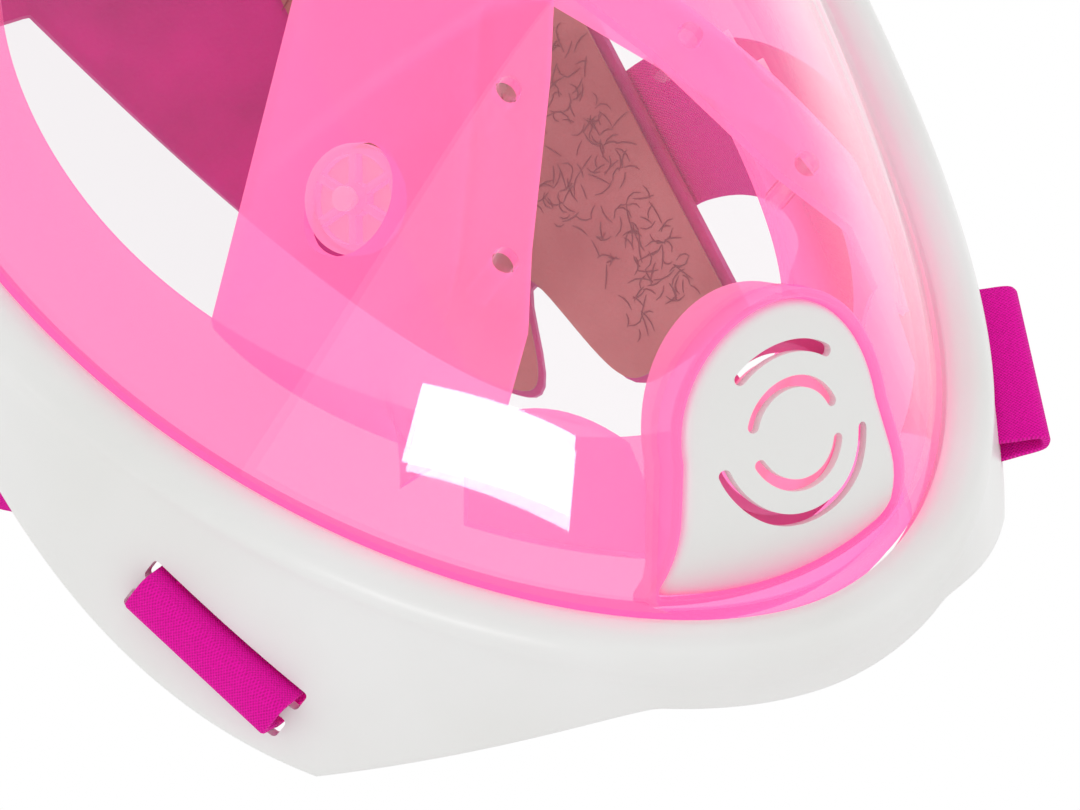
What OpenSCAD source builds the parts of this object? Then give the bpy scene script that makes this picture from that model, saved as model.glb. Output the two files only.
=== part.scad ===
// Full face snorkel: a clear lens in a white frame, a silicone skirt with a nose and
// mouth pocket, a chin purge valve, a plug-in tube with a float valve, and a harness.
// Millimetres. +Z is up, -Y is the way the wearer looks, +X is the wearer's left.
// The origin is the middle of the face opening.

/* [Lens] */
// Width of the lens across its rim
lens_w = 167.4; // [145:0.2:201]
// Rim below its widest level
lens_drop = 134; // [112:1:161]
// Rim above its widest level
lens_rise = 90; // [75:1:108]
// How far the lens stands forward of the chin rim
lens_bulge = 50; // [42:1:60]
// How far the rim sweeps back to the temples
temple_sweep = 40.8; // [34:0.2:49]
// Lens wall
lens_t = 2.2; // [1.6:0.1:3]

/* [Frame] */
// Width of the bezel around the lens, seen from the front
bezel_w = 10; // [8:0.5:12]
// Wall of the bezel and its wings
frame_t = 2.2; // [1.6:0.1:2.6]
// Reach of the plain edge past the bezel
edge_reach = 3.5; // [3:0.5:5]
// Reach of a strap wing past the bezel at its corner
wing_reach = 29; // [27:0.5:32]
// Width of the strap webbing
webbing_w = 30; // [25:1:32]
// Thickness of the strap webbing
webbing_t = 1.5; // [1:0.1:1.8]

/* [Skirt and pocket] */
// Silicone wall
skirt_t = 2; // [1.4:0.1:2.4]
// Width of the face opening as a share of the rim
lip_share = 0.70; // [0.66:0.01:0.74]
// Rear edge of the pocket behind the chin rim
pocket_depth = 30; // [26:1:34]
// Radius of the inhalation valve seats
inhale_r = 8.5; // [7.5:0.1:9.5]

/* [Purge valve] */
// Half width of the valve cover at its slots
cover_hw = 18; // [16:0.5:20]
// Length of the cover above the middle of its slots
cover_up = 20; // [18:0.5:22]
// Length of the cover below the middle of its slots
cover_down = 21.5; // [19:0.5:22]
// Radius of the purge flap
purge_flap_r = 10.5; // [8:0.1:11]

/* [Snorkel] */
// Length of the tube
tube_len = 225; // [180:5:270]
// Width of the tube
tube_w = 44; // [40:1:48]
// Depth of the tube
tube_d = 24; // [22:1:26]
// Radius of the middle, breathing-in channel
bore_r = 8.5; // [7:0.1:9]
// Radius of each side, breathing-out channel
side_r = 4.5; // [3.5:0.1:4.8]
// Depth of the plug in its socket
plug_len = 19; // [16:1:24]
// Travel of the float
float_travel = 12; // [8:0.5:14]

/* [Harness] */
// Height of the rear pad's ears
ear_h = 70; // [60:1:84]
// Depth of the harness behind the chin rim
harness_depth = 168; // [145:1:195]

/* [Hidden] */
$fn = 48;
around = 72;                        // points round the rim
step = 360 / around;
face_back = 50;                     // face plane behind the chin rim
centre_up = (lens_drop - lens_rise) / 2;
half_w = lens_w / 2;
apex_z = -centre_up - 10;           // height of the lens's foremost point
dome_soft = 0.35;                   // roundness of the lens's nose
gap = 0.3;                          // between pieces that don't touch
fit = 0.05;                         // radial, a piece that slides in a bore

function unit(v) = v / norm(v);
function flat(rows) = [for (r = rows) each r];
function spow(v, e) = sign(v) * pow(abs(v), e);
function clamp01(u) = min(1, max(0, u));
function mixed(a, b, u) = a + (b - a) * u;

// Rim of the lens at angle t, 0 at the wearer's left temple and 90 at the top.
function rim(t, inset = 0) =
    let (low = sin(t) < 0,
         x = (half_w - inset) * spow(cos(t), low ? 2 / 1.9 : 2 / 2.2),
         z = ((low ? lens_drop : lens_rise) - inset) * spow(sin(t), low ? 2 / 1.9 : 2 / 2.2))
    [x, temple_sweep * pow(abs(x) / half_w, 2), z];
function along(t) = unit(rim(t + 0.5) - rim(t - 0.5));
function outward(t) = let (a = along(t)) unit([a[2], 0, -a[0]]);

// A point beside the rim: w outwards in the front view, d backwards.
function beside(t, w, d) = rim(t) + w * outward(t) + [0, d, 0];

// Lens surface: g runs from 0 at the nose to 1 at the rim.
function dome(t, g, inset = 0) =
    let (r = rim(t, inset),
         k = (sqrt(g * g + dome_soft * dome_soft) - dome_soft)
             / (sqrt(1 + dome_soft * dome_soft) - dome_soft),
         nose = lens_bulge - inset)
    [r[0] * g, mixed(-nose, r[1], k), mixed(apex_z, r[2], g)];

// How far the point (x, z) lies towards the rim, as a share: the rim's outline, shrunk
// about the nose, passes through it.
function rim_miss(x, z, g) =
    let (zr = (z - apex_z) / g + apex_z, low = zr < 0, p = low ? 1.9 : 2.2)
    pow(abs(x) / g / half_w, p) + pow(abs(zr) / (low ? lens_drop : lens_rise), p) - 1;
function share_at(x, z, lo = 0.02, hi = 1.2, n = 18) =
    let (g = (lo + hi) / 2)
    n == 0 ? g : rim_miss(x, z, g) > 0 ? share_at(x, z, g, hi, n - 1) : share_at(x, z, lo, g, n - 1);
// Front of the lens at (x, z).
function lens_y(x, z) =
    let (g = share_at(x, z),
         k = (sqrt(g * g + dome_soft * dome_soft) - dome_soft)
             / (sqrt(1 + dome_soft * dome_soft) - dome_soft))
    mixed(-lens_bulge, temple_sweep * pow(abs(x) / g / half_w, 2), k);
function behind_lens(p, room) = [p[0], max(p[1], lens_y(p[0], p[2]) + lens_t + room), p[2]];

// Reach of the bezel's swept-back edge at rim angle t, with its four strap wings.
wing_from = 12;
wing_corner = 54;
wing_to = 74;
function from_level(t) = abs(asin(sin(t)));
function wing_rise(p) = pow(sin(90 * clamp01((p - wing_from) / (wing_corner - wing_from))), 1.3);
function wing_fall(p) = pow(clamp01(1 - (p - wing_corner) / (wing_to - wing_corner)), 1.3);
function reach(t) =
    let (p = from_level(t))
    edge_reach + (wing_reach - edge_reach) * (p < wing_corner ? wing_rise(p) : wing_fall(p));
bezel_back = 4.5;                   // where the swept-back edge starts, behind the rim
function swept(t, l) = beside(t, bezel_w + 0.5 * l, bezel_back + 0.87 * l);

// Two matching grids of points as one closed slab. closed joins the last column to the
// first, and cap fills the last row with a fan.
module slab(front, back, closed = false, cap = false) {
    m = len(front);
    n = len(front[0]);
    k = m * n;
    cols = closed ? n : n - 1;
    middle_f = [for (i = [0:2]) [for (p = front[m - 1]) p[i]] * [for (p = front[m - 1]) 1 / n]];
    middle_b = [for (i = [0:2]) [for (p = back[m - 1]) p[i]] * [for (p = back[m - 1]) 1 / n]];
    sheets = [for (i = [0:m - 2]) for (j = [0:cols - 1])
        let (a = i * n + j, b = i * n + (j + 1) % n, c = b + n, d = a + n)
        each [[a, b, c], [a, c, d], [k + a, k + c, k + b], [k + a, k + d, k + c]]];
    first = [for (j = [0:cols - 1]) let (a = j, b = (j + 1) % n)
        each [[b, a, k + a], [b, k + a, k + b]]];
    last = [for (j = [0:cols - 1]) let (d = (m - 1) * n + j, c = (m - 1) * n + (j + 1) % n)
        each cap ? [[d, c, 2 * k], [k + c, k + d, 2 * k + 1]]
                 : [[d, c, k + c], [d, k + c, k + d]]];
    sides = closed ? [] : [for (i = [0:m - 2])
        let (a = i * n, d = a + n, b = a + n - 1, c = b + n)
        each [[a, d, k + d], [a, k + d, k + a], [c, b, k + b], [c, k + b, k + c]]];
    points = concat(flat(front), flat(back), cap ? [middle_f, middle_b] : []);
    polyhedron(points = points, faces = concat(sheets, first, last, sides), convexity = 8);
}

// Sections that close on themselves, joined into a ring.
module ring(rows) {
    m = len(rows);
    n = len(rows[0]);
    polyhedron(points = flat(rows), convexity = 8,
        faces = [for (i = [0:m - 1]) for (j = [0:n - 1])
            let (a = i * n + j, b = i * n + (j + 1) % n,
                 c = ((i + 1) % m) * n + (j + 1) % n, d = ((i + 1) % m) * n + j)
            each [[a, b, c], [a, c, d]]]);
}

// Puts the rim's own frame in place: its origin is at the chin rim's depth.
module at_rim() translate([0, -face_back, centre_up]) children();

// Puts a frame with axes x and y at point o.
module frame_at(o, x, y) {
    z = cross(x, y);
    translate(o) rotate([atan2(y[2], z[2]), -asin(x[2]), atan2(x[1], x[0])]) children();
}

module stadium(w, d) {
    square([w - d, d], center = true);
    for (s = [-1, 1]) translate([s * (w - d) / 2, 0]) circle(d = d);
}

// ---- lens, bezel and clamp

lens_rows = [1, 0.95, 0.89, 0.81, 0.72, 0.62, 0.51, 0.4, 0.29, 0.18, 0.08];

module lens_shell() {
    slab([for (g = lens_rows) [for (j = [0:around - 1]) dome(j * step, g, lens_t)]],
         [for (g = lens_rows) [for (j = [0:around - 1]) dome(j * step, g)]],
         closed = true, cap = true);
}

// The valve's opening in the lens runs out through the chin rim.
module lens() color([0.93, 0.97, 1, 0.35]) at_rim() difference() {
    lens_shell();
    at_purge() translate([0, 0, -2 * boss_depth]) linear_extrude(40) {
        polygon(tongue(boss_wall + gap));
        translate([-boss_hw, -cover_down - 20]) square([2 * boss_hw, 20]);
    }
}

// Bezel section: front face from the lens outwards, swept edge, then back again.
function bezel_section(t) =
    let (l = reach(t))
    [beside(t, 0.4, 1.4), beside(t, 2, -0.2), beside(t, 4.5, -1.2), beside(t, 7, -0.6),
     beside(t, 9, 1.5), swept(t, 0), swept(t, l / 2), swept(t, l),
     swept(t, l) + frame_t * (0.5 * [0, 1, 0] - 0.87 * outward(t)),
     swept(t, l / 2) + frame_t * (0.5 * [0, 1, 0] - 0.87 * outward(t)),
     swept(t, 0) + frame_t * (0.5 * [0, 1, 0] - 0.87 * outward(t)),
     beside(t, 9 - 0.8 * frame_t, 1.5 + 0.95 * frame_t), beside(t, 6.2, -0.6 + frame_t),
     beside(t, 4.5, -1.2 + frame_t), beside(t, 2.8, -0.2 + frame_t), beside(t, 0.4, 3)];

slot_w = 3.6;
slot_pitch = 6;
slot_in = 12.5;                     // inner slot, along the wing from the bezel
slot_mid = 4;                       // slots' middle, along the rim from the wing's frame
wing_angles = [222, 318, 138, 42];

// Frame of a strap wing: x towards the chin or the top, y out along the wing.
function wing_o(t) = swept(t, 0);
function wing_y(t) = unit(0.5 * outward(t) + [0, 0.87, 0]);
function wing_x(t) =
    let (a = along(t) * (cos(t) * sin(t) > 0 ? 1 : -1), y = wing_y(t))
    unit(a - (a * y) * y);
module at_wing(t) frame_at(wing_o(t), wing_x(t), wing_y(t)) children();
// A point by a wing: p[2] is how far it lies behind the wing's front skin.
function wing_pt(t, p) =
    wing_o(t) + p[0] * wing_x(t) + p[1] * wing_y(t)
    + p[2] * sign(cos(t) * sin(t)) * cross(wing_x(t), wing_y(t));

module wing_slots(t) at_wing(t) for (i = [0, 1])
    translate([slot_mid - (webbing_w + 1) / 2, slot_in + i * slot_pitch - slot_w / 2, -15])
        cube([webbing_w + 1, slot_w, 30]);

module outer_frame() color([0.95, 0.95, 0.96]) at_rim() difference() {
    ring([for (j = [around:-1:1]) bezel_section(j * step)]);
    for (t = wing_angles) wing_slots(t);
}

// The clamp ring traps the skirt's bead and the lens edge against the bezel.
function clamp_section(t) =
    [beside(t, 0.9, 4.1), beside(t, 1.8, 3), beside(t, 3, 2.6), beside(t, 4.5, 1.9),
     beside(t, 5.9, 2.3), beside(t, 6.6, 4.6), beside(t, 6.4, 7.6), beside(t, 0.9, 7.6)];
pin_count = 12;
pin_r = 1.1;
function pin_t(i) = 15 + i * 360 / pin_count;

module clamp_pin(r, d0, d1) translate([0, d0, 0]) rotate([-90, 0, 0]) cylinder(r = r, h = d1 - d0);

module clamp_ring() color([0.9, 0.9, 0.92]) at_rim() difference() {
    ring([for (j = [around:-1:1]) clamp_section(j * step)]);
    for (i = [0:pin_count - 1])
        translate(beside(pin_t(i), 4.2, 0)) clamp_pin(pin_r + fit, 0, 9.5);
}

module clamp_screws() color([0.75, 0.76, 0.78]) at_rim() for (i = [0:pin_count - 1])
    translate(beside(pin_t(i), 4.2, 0)) {
        clamp_pin(pin_r, 2.4, 9);
        clamp_pin(1.8, 8.6, 9.8);
    }

// ---- skirt

function skirt_pt(t, g, dy) =
    let (r = rim(t)) [r[0] * g, r[1] + dy, mixed(-centre_up, r[2], g)];
skirt_out = [[1, 2.2], [1, 10], [0.97, 18], [0.9, 22], [lip_share + 0.1, 18], [lip_share, 8]];
skirt_in = [[0.975, 2.2], [0.975, 9.4], [0.95, 16.2], [0.895, 19.8], [lip_share + 0.115, 16.2],
            [lip_share + 0.02, 7.2]];

module skirt_shell() {
    slab([for (s = skirt_out) [for (j = [0:around - 1]) skirt_pt(j * step, s[0], s[1])]],
         [for (s = skirt_in) [for (j = [0:around - 1]) skirt_pt(j * step, s[0], s[1])]],
         closed = true);
}

module face_skirt() color([1, 0.55, 0.77, 0.6]) at_rim() difference() {
    skirt_shell();
    translate([0, socket_y, neck_bottom - 30]) linear_extrude(60)
        stadium(neck_w + 2 * gap, neck_d + 2 * gap);
    at_purge() translate([0, 0, -2 * boss_depth]) linear_extrude(40) polygon(tongue(boss_wall + gap));
}

// ---- nose and mouth pocket

ridge_y = -13;                      // front of the pocket's flange
open_z = -35;                       // top of the front opening
nose_z = 8;                         // top of the nose bridge
flange_w = 12.8;
pocket_levels = [8, -6, -20, -35, -43, -52, -62, -72, -82, -93];
cheek_z = -54;                      // widest level of the pocket
function edge_x(z) = z > open_z ? -0.4 : 1.5 + 0.585 * (open_z - z);
function ridge(z) = z > open_z ? mixed(ridge_y, pocket_depth - 4, (z - open_z) / (nose_z - open_z))
                               : ridge_y + 5 * clamp01((-48 - z) / 24);
function fold_x(z) = edge_x(z) + flange_w * clamp01((nose_z + 2 - z) / (nose_z + 2 - open_z));
function rear_x(z) = z > cheek_z ? 10.5 - 0.81 * z : 54.2 - 18 * pow((cheek_z - z) / 39, 2);
function rear_y(z) = pocket_depth - 18 * clamp01((cheek_z - z) / 39);
function pocket_row(z, grow) =
    let (e = [edge_x(z), ridge(z) - grow, z], f = [fold_x(z) + 0.2 * grow, ridge(z) - grow, z],
         r = [rear_x(z) + grow, rear_y(z), z])
    [for (p = [e, f, mixed(f, r, 0.3) + [1.5 + 0.5 * grow, 0, 0],
               mixed(f, r, 0.65) + [1.5 + 0.5 * grow, 0, 0], r])
        behind_lens(p, 3 + skirt_t - grow)];

function valve_z() = -50;
function valve_o() = mixed([fold_x(valve_z()), ridge(valve_z()), 0],
                           [rear_x(valve_z()), rear_y(valve_z()), 0], 0.44)
                     + [1.5, 0, valve_z()];
function valve_wall() = unit([rear_x(valve_z()) - fold_x(valve_z()),
                              rear_y(valve_z()) - ridge(valve_z()), 0]);
// Frame of the inhalation valve on the wearer's left: z points out of the pocket.
module at_valve() frame_at(valve_o(), valve_wall(), [0, 0, 1]) children();

peg_spots = [[16.8, -13, -48], [28, -8, -72]];
peg_r = 1.8;
peg_len = 13;
module peg_at(p, r, extra) translate(p - [0, 3 + extra, 0]) rotate([-90, 0, 0])
    cylinder(r = r, h = peg_len + 2 * extra);

module chin_web() {
    xs = [1, 0.75, 0.5, 0.25, 0];
    x0 = edge_x(-93) + 4;
    x1 = boss_hw + 1.2;
    top = [for (u = xs) [mixed(x0, x1, u), -9.4 - 1.6 * u, -91 - 13 * u * u]];
    low = [for (u = xs) [mixed(x0 - 4, x1 + 1, u), 1 - 2 * u, -112]];
    rows = [for (row = [top, low]) [for (p = row) behind_lens(p, 2.5)]];
    slab(rows, [for (row = rows) [for (p = row) p + [0, skirt_t, 0]]]);
}

module orinasal_pocket() color([1, 0.5, 0.75, 0.7]) at_rim() for (s = [0, 1]) mirror([s, 0, 0]) {
    difference() {
        slab([for (z = pocket_levels) pocket_row(z, skirt_t)],
             [for (z = pocket_levels) pocket_row(z, 0)]);
        at_valve() translate([0, 0, -15]) cylinder(r = inhale_r + gap, h = 30);
        for (p = peg_spots) peg_at(p, peg_r + gap, 4);
    }
    chin_web();
}

module pocket_pegs() color([0.95, 0.97, 1, 0.5]) at_rim() for (s = [0, 1]) mirror([s, 0, 0])
    for (p = peg_spots) peg_at(p, peg_r, 0);

valve_seat_t = 2;
spokes = 6;
module valve_seat(r, hub_r, bore) linear_extrude(valve_seat_t) difference() {
    union() {
        difference() {
            circle(r = r);
            circle(r = r - 1.6);
        }
        circle(r = hub_r);
        for (i = [0:spokes - 1]) rotate(i * 360 / spokes)
            translate([0, -0.6]) square([r - 0.8, 1.2]);
    }
    circle(r = bore);
}

flap_t = 0.8;
stem_r = 1.1;
module mushroom(r, travel) {
    translate([0, 0, valve_seat_t + 0.2]) cylinder(r = r, h = flap_t);
    translate([0, 0, -travel - 0.6]) cylinder(r = stem_r, h = valve_seat_t + travel + 1);
    translate([0, 0, -travel - 1.6]) cylinder(r = stem_r + 0.8, h = 1.2);
}

inhale_travel = 1.2;
module inhale_seat(s) color([1, 0.75, 0.88]) at_rim() mirror([s, 0, 0]) at_valve()
    translate([0, 0, -valve_seat_t / 2]) valve_seat(inhale_r, 2.6, stem_r + fit);
// The flap is on the pocket's inner side, so it opens into the pocket.
module inhale_flap(s) color([1, 0.85, 0.93]) at_rim() mirror([s, 0, 0]) at_valve()
    translate([0, 0, valve_seat_t / 2]) rotate([180, 0, 0]) mushroom(inhale_r - 0.7, inhale_travel);

// ---- purge valve at the chin

purge_g = 0.787;
function purge_up() = unit(dome(270, purge_g - 0.01) - dome(270, purge_g + 0.01));
function purge_out() = cross([1, 0, 0], purge_up());
cover_stand = 1;                    // cover's plane in front of the lens
function purge_o() = dome(270, purge_g) + cover_stand * purge_out();
module at_purge() frame_at(purge_o(), [1, 0, 0], purge_up()) children();

boss_wall = 1.7;
boss_depth = 11;
boss_hw = cover_hw + 4;
corner_r = 3;
flare = 1.2;                        // how much wider the cover is at its foot
foot_bow = 2.6;                     // how far the foot's middle hangs lower
// Outline of the cover, grown outwards: half an ellipse over a flared foot.
function tongue(grow) =
    let (w = cover_hw + grow, up = cover_up + grow, foot = cover_down + min(grow, 1.2),
         fw = w * flare, cr = corner_r)
    concat([for (a = [0:7.5:180]) [w * cos(a), up * sin(a)]],
           [for (i = [1:3]) [-mixed(w, fw, i / 4), -(foot - cr) * i / 4]],
           [for (a = [180:22.5:270]) [-(fw - cr) + cr * cos(a), -(foot - cr) + cr * sin(a)]],
           [for (u = [-0.75:0.25:0.75]) [(fw - cr) * u, -foot - foot_bow * (1 - u * u)]],
           [for (a = [270:22.5:360]) [fw - cr + cr * cos(a), -(foot - cr) + cr * sin(a)]],
           [for (i = [3:-1:1]) [mixed(w, fw, i / 4), -(foot - cr) * i / 4]]);
crown = 1.4;
// Height of the cover's skin over its plane: crowned, and folded back at the foot.
function skin_h(p) = crown - 0.0123 * p[0] * p[0] - 0.042 * pow(max(0, -p[1] - 8), 2);
function skin(p, drop) = [p[0], p[1], skin_h(p) - drop];
cover_t = 1.6;
cover_lip = 2.4;
shares = [0.94, 0.8, 0.6, 0.4, 0.2, 0.08];

slot_rings = [[6.9, 8.7, 22, 136], [6.9, 8.7, 203, 134], [12.2, 14.1, 53, 74], [12.2, 14.1, 194, 152]];
module arc_slot(s) translate([0, 0, -10]) rotate(s[2]) rotate_extrude(angle = s[3])
    translate([s[0], 0]) square([s[1] - s[0], 20]);

module purge_cover() color([0.94, 0.94, 0.93]) at_rim() at_purge() difference() {
    slab(concat([[for (p = tongue(-1.4)) skin(p, cover_lip + cover_t)],
                 [for (p = tongue(-1.4)) skin(p, cover_t + 0.3)]],
                [for (u = shares) [for (p = tongue(-1.6)) skin(p * u, cover_t)]]),
         concat([[for (p = tongue(0)) skin(p, cover_lip + cover_t)],
                 [for (p = tongue(0)) skin(p, 0.5)]],
                [for (u = shares) [for (p = tongue(0)) skin(p * u, 0)]]),
         closed = true, cap = true);
    for (s = slot_rings) arc_slot(s);
}

function boss_top(grow) = [for (p = tongue(grow)) skin(p, -0.5)];
function boss_foot(grow) = [for (p = tongue(grow)) [p[0], p[1], min(-boss_depth, skin_h(p) - 3)]];
module purge_boss() color([1, 0.45, 0.72, 0.8]) at_rim() at_purge() {
    ring([boss_top(gap + 0.1), boss_top(boss_wall), boss_foot(boss_wall), boss_foot(gap + 0.1)]);
}

purge_seat_r = purge_flap_r + 2.5;
purge_travel = 1.5;
purge_z = -6.5;                     // back of the purge seat under the cover's plane
module purge_seat() color([1, 0.6, 0.8]) at_rim() at_purge() translate([0, 0, purge_z]) {
    valve_seat(purge_seat_r, 3, stem_r + fit);
    difference() {
        translate([0, 0, -1]) linear_extrude(1.6) circle(r = purge_seat_r + 3);
        translate([0, 0, -2]) cylinder(r = purge_seat_r - 1.6, h = 4);
    }
}
module purge_flap() color([1, 0.8, 0.9]) at_rim() at_purge() translate([0, 0, purge_z])
    mushroom(purge_flap_r, purge_travel);

// ---- tube socket and its button

gasket_t = 2;
socket_y = 20.5;                    // tube axis behind the chin rim
neck_d = 20;
neck_w = 46;
neck_bottom = lens_rise - 10;
floor_z = lens_rise + bezel_w + 0.5 * edge_reach + gasket_t + 3 * gap;
floor_t = 4;
seat_z = floor_z + floor_t;
plug_gap = 4;                       // room for the exhale flaps over the floor
socket_wall = 5;
socket_w = tube_w + 2 * socket_wall + 2;
socket_d = tube_d + 2 * socket_wall;
plug_clear = 0.25;
plug_z = seat_z + plug_gap;
socket_top = plug_z + plug_len - 0.3;
side_x = bore_r + side_r + 2.5;
button_z = plug_z + plug_len / 2 - 1.5;
button_r = 7;
button_travel = 2.5;
collar_front = -22.5;               // front of the button's collar from the tube axis
spring_floor = -15.5;
pin_tip = -tube_d / 2 - button_travel - 0.5;   // the pressed pin stops short of the plug

module channels(h) {
    translate([0, 0, -1]) cylinder(r = bore_r, h = h + 2);
    for (s = [-1, 1]) translate([s * side_x, 0, -1]) cylinder(r = side_r, h = h + 2);
}

module at_tube(z) at_rim() translate([0, socket_y, z]) children();
module across(y, h, r) translate([0, y, 0]) rotate([-90, 0, 0]) cylinder(r = r, h = h);

module tube_socket() color([0.95, 0.95, 0.96]) difference() {
    union() {
        at_tube(neck_bottom) linear_extrude(floor_z - neck_bottom + 1) stadium(neck_w, neck_d);
        at_tube(floor_z) linear_extrude(socket_top - floor_z) stadium(socket_w, socket_d);
        at_tube(button_z) across(collar_front, 8, button_r + 3);
    }
    at_tube(neck_bottom) channels(seat_z - neck_bottom);
    at_tube(seat_z) linear_extrude(60) stadium(tube_w + 2 * plug_clear, tube_d + 2 * plug_clear);
    at_tube(button_z) across(collar_front - 1, spring_floor - collar_front + 1, button_r);
    at_tube(button_z) across(-tube_d, tube_d, 2.5 + fit);
}

module release_button() color([0.95, 0.35, 0.65]) at_tube(button_z) {
    across(collar_front - 2.5, 4, button_r - fit);
    across(collar_front - 1, pin_tip - collar_front + 1, 2.5);
}

spring_r = 4.8;
module release_spring() color([0.7, 0.7, 0.72]) at_tube(button_z)
    for (i = [0:3]) translate([0, collar_front + 2.2 + i * 1.35, 0]) rotate([-90, 0, 0])
        rotate_extrude() translate([spring_r, 0]) circle(r = 0.35);

// A silicone gasket between the neck and the skirt.
module neck_gasket() color([1, 0.5, 0.75]) at_tube(floor_z - gasket_t - gap)
    linear_extrude(gasket_t) difference() {
    stadium(neck_w + 6, neck_d + 6);
    stadium(neck_w + 0.4, neck_d + 0.4);
}

exhale_r = side_r + 1.3;
exhale_travel = 1.5;
module exhale_flap(s) color([1, 0.8, 0.9]) at_tube(seat_z + 0.1)
    translate([s * side_x, 0, 0]) cylinder(r = exhale_r, h = 1);

// ---- plug-in tube with its float valve

seal_z = 4;
sleeve_h = 15;
flange_h = 5;
module tube_plug() color([0.95, 0.95, 0.96]) difference() {
    union() {
        at_tube(plug_z) linear_extrude(plug_len + 1) stadium(tube_w, tube_d);
        at_tube(plug_z + plug_len) linear_extrude(flange_h) stadium(socket_w, socket_d);
        at_tube(plug_z + plug_len) linear_extrude(flange_h + sleeve_h)
            stadium(tube_w + 5, tube_d + 5);
    }
    at_tube(plug_z) channels(plug_len + flange_h);
    at_tube(tube_z) linear_extrude(60) stadium(tube_w + 0.2, tube_d + 0.2);
    at_tube(plug_z + seal_z) linear_extrude(2.4) difference() {
        stadium(tube_w + 4, tube_d + 4);
        stadium(tube_w - 3, tube_d - 3);
    }
}
tube_z = plug_z + plug_len + flange_h;
module plug_seal() color([1, 0.5, 0.75]) at_tube(plug_z + seal_z + 0.1) linear_extrude(2.2)
    difference() {
        stadium(tube_w + 0.3, tube_d + 0.3);
        stadium(tube_w - 2.8, tube_d - 2.8);
    }

module snorkel_tube() color([0.96, 0.96, 0.97]) at_tube(tube_z) difference() {
    linear_extrude(tube_len) stadium(tube_w, tube_d);
    channels(tube_len);
}

chamber_z = tube_z + tube_len - 8;
chamber_wall = 2.5;
chamber_w = tube_w + 2 * chamber_wall;
chamber_d = tube_d + 2 * chamber_wall;
float_h = 14;
float_rest = chamber_z + 14;
plate_z = float_rest + float_h + 2 + float_travel + gap;
module float_chamber() color([1, 0.5, 0.75]) difference() {
    at_tube(chamber_z) linear_extrude(plate_z - chamber_z) stadium(chamber_w, chamber_d);
    at_tube(chamber_z - 1) linear_extrude(9) stadium(tube_w + 0.2, tube_d + 0.2);
    at_tube(chamber_z) channels(20);
    at_tube(chamber_z + 12) linear_extrude(60) stadium(tube_w - 1, tube_d - 1);
    for (s = [-1, 1]) at_tube(chamber_z + 17) translate([s * 9 - 3, -20, 0]) cube([6, 40, 5]);
}

module float_body() color([1, 0.95, 0.97]) at_tube(float_rest) linear_extrude(float_h)
    stadium(tube_w - 3, tube_d - 3);
module float_seal() color([1, 0.45, 0.72]) at_tube(float_rest + float_h + 0.1) linear_extrude(1.8)
    stadium(tube_w - 8, tube_d - 6);

plate_t = 3;
module intake_plate() color([0.95, 0.95, 0.96]) at_tube(plate_z + 0.05) difference() {
    linear_extrude(plate_t) stadium(chamber_w, chamber_d);
    for (x = [-9, 0, 9]) translate([x, 0, -1]) cylinder(r = 3.8, h = plate_t + 2);
}

cap_gap = 7;
module splash_cap() color([1, 0.5, 0.75]) at_tube(plate_z + plate_t + 0.1) {
    for (x = [-1, 1]) for (y = [-1, 1]) translate([x * 12, y * 12.2, 0]) cylinder(r = 1.8, h = cap_gap + 1);
    translate([0, 0, cap_gap]) linear_extrude(3) stadium(chamber_w, chamber_d);
    translate([0, 0, cap_gap + 2]) linear_extrude(3) stadium(chamber_w - 6, chamber_d - 6);
}

// ---- harness

pad_t = 4;
pad_hw = 92;                        // half width of the band round the head
pad_front = 60;
ear_angle = 63.5;
ear_low = -56;
// The pad is part of an upright oval tube, a measured round from the nape.
function pad_out(a) = unit([sin(a) / pad_hw, cos(a) / (harness_depth - pad_front), 0]);
function pad_pt(a, z, off) =
    [pad_hw * sin(a), pad_front + (harness_depth - pad_front) * cos(a), z] + off * pad_out(a);
// Lower edge: an arch over the nape, and a notch in each ear.
notch_angle = 43.5;
notch_h = 26;
function arch(a) =
    let (u = clamp01((abs(a) - 6) / 42), n = (abs(a) - notch_angle) / 3)
    mixed(64, ear_low, sin(90 * u)) + notch_h * exp(-n * n);
function crest(a) = let (u = clamp01((abs(a) - 20) / (ear_angle - 20)))
    mixed(104, ear_low + ear_h, u * u * (3 - 2 * u));
pad_rows = [0, 0.25, 0.5, 0.75, 1];
function pad_grid(a0, a1, count, off, inset) =
    [for (u = pad_rows) [for (i = [0:count]) let (a = mixed(a0, a1, i / count))
        pad_pt(a, mixed(arch(a) + inset, crest(a) - inset, u), off)]];

module rear_pad() color([0.85, 0.05, 0.55]) at_rim()
    slab(pad_grid(-ear_angle, ear_angle, 60, pad_t, 0),
         pad_grid(-ear_angle, ear_angle, 60, 0, 0));

lining_from = 33;
lining_t = 1;
module pad_lining(s) color([0.75, 0.42, 0.42]) at_rim() mirror([s, 0, 0])
    slab(pad_grid(lining_from, ear_angle - 0.5, 16, -gap, 1),
         pad_grid(lining_from, ear_angle - 0.5, 16, -gap - lining_t, 1));

// A ribbon along points, each with the direction its width takes.
module ribbon(path, dirs, w) {
    n = len(path);
    function tangent(i) = unit(path[min(n - 1, i + 1)] - path[max(0, i - 1)]);
    function width_dir(i) = let (t = tangent(i)) unit(dirs[i] - (dirs[i] * t) * t);
    sections = [for (i = [0:n - 1]) let (s = width_dir(i) * w / 2, h = cross(tangent(i), width_dir(i))
        * webbing_t / 2) [path[i] - s - h, path[i] + s - h, path[i] + s + h, path[i] - s + h]];
    k = 4 * n;
    polyhedron(points = flat(sections), convexity = 6, faces = concat(
        [[0, 1, 2, 3], [k - 1, k - 2, k - 3, k - 4]],
        [for (i = [0:n - 2]) for (j = [0:3]) let (a = 4 * i + j, b = 4 * i + (j + 1) % 4)
            each [[a, a + 4, b + 4], [a, b + 4, b]]]));
}

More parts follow.
